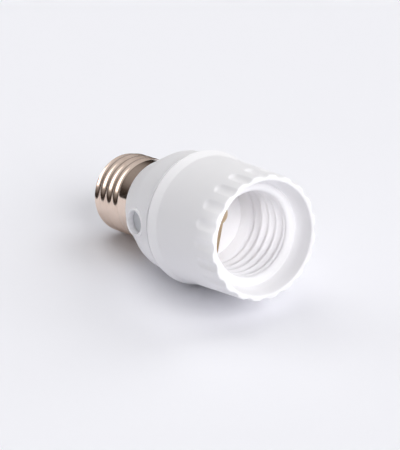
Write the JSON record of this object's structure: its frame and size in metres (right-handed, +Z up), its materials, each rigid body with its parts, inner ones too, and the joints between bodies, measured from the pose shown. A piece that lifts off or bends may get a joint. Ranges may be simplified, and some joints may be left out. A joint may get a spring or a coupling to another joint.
{
  "type": "dusk to dawn socket adapter",
  "caption": "Light-sensing lamp adapter: a metal screw base, a two-part plastic housing with a light sensor in its side, and a fluted mouth around a female screw socket.",
  "frame": {"origin": "under the middle of the lying adapter, on the surface it lies on", "axes": "+X from the screw base towards the mouth, along the surface; +Z up; the adapter lies on its collar and its last thread crest, with its axis rising towards the mouth"},
  "size_m": [0.0824, 0.0426, 0.0464],
  "materials": {
    "white_plastic": "smooth moulded",
    "nickel": "nickel plated, drawn",
    "brass": "plain stamped",
    "window_plastic": "translucent grey",
    "cell_ceramic": "coated",
    "bare_wire": "tinned",
    "board_laminate": "lacquered",
    "can_aluminium": "drawn can",
    "film_box": "moulded",
    "black_resin": "moulded",
    "resistor_lacquer": "lacquered",
    "fuse_body": "lacquered",
    "red_insulation": "insulated wire",
    "black_insulation": "insulated wire"
  },
  "bodies": {
    "root": {"screw_shell": "nickel", "base_contact": "nickel", "lower_cup": "white_plastic", "sensor_window": "window_plastic", "photocell": "cell_ceramic", "photocell_leads": "bare_wire", "circuit_board": "board_laminate", "electrolytic_capacitor": "can_aluminium", "film_capacitor": "film_box", "triac": "black_resin", "transistor": "black_resin", "bridge_rectifier": "black_resin", "resistors": "resistor_lacquer", "fuse": "fuse_body", "live_lead": "red_insulation", "shell_lead": "black_insulation", "upper_shell": "white_plastic", "contact_carrier": "white_plastic", "centre_contact": "brass", "side_contact": "brass", "centre_rivet": "brass", "side_rivet": "brass"}
  },
  "joints": []
}
